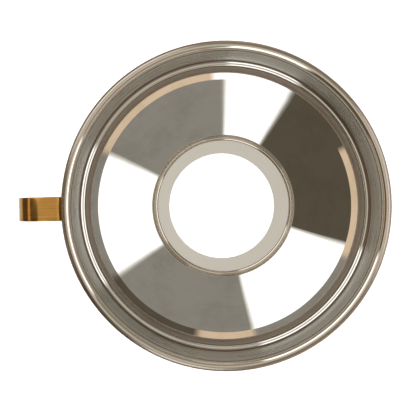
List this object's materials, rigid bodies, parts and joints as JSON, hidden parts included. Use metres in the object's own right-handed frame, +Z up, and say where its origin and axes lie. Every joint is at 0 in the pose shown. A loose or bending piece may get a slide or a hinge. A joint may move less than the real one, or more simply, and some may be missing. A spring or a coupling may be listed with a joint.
{
  "type": "pour over dripper",
  "caption": "Spun steel cone dripper with a rolled rim, a wide open outlet, a vented cup flange and a riveted brass finger loop.",
  "frame": {"origin": "under the middle of the bounding box, in the plane that the outlet's edge stands on; the bowl's axis is 10.25 mm along +X", "axes": "+Z up along the bowl's axis, towards the mouth; the finger loop points along -X"},
  "size_m": [0.1505, 0.13, 0.073],
  "materials": {
    "bowl_steel": "spun and polished, brushed round the side wall",
    "neck_steel": "polished",
    "flange_steel": "satin, brushed round the axis",
    "wire_steel": "drawn wire",
    "loop_brass": "satin, brushed along the strip, slightly aged",
    "rivet_steel": "polished heads"
  },
  "bodies": {
    "root": {"dripper_bowl": "bowl_steel", "rim_wire": "wire_steel", "outlet_neck": "neck_steel", "cup_flange": "flange_steel", "finger_loop": "loop_brass", "upper_rivet": "rivet_steel", "lower_rivet": "rivet_steel"}
  },
  "joints": []
}
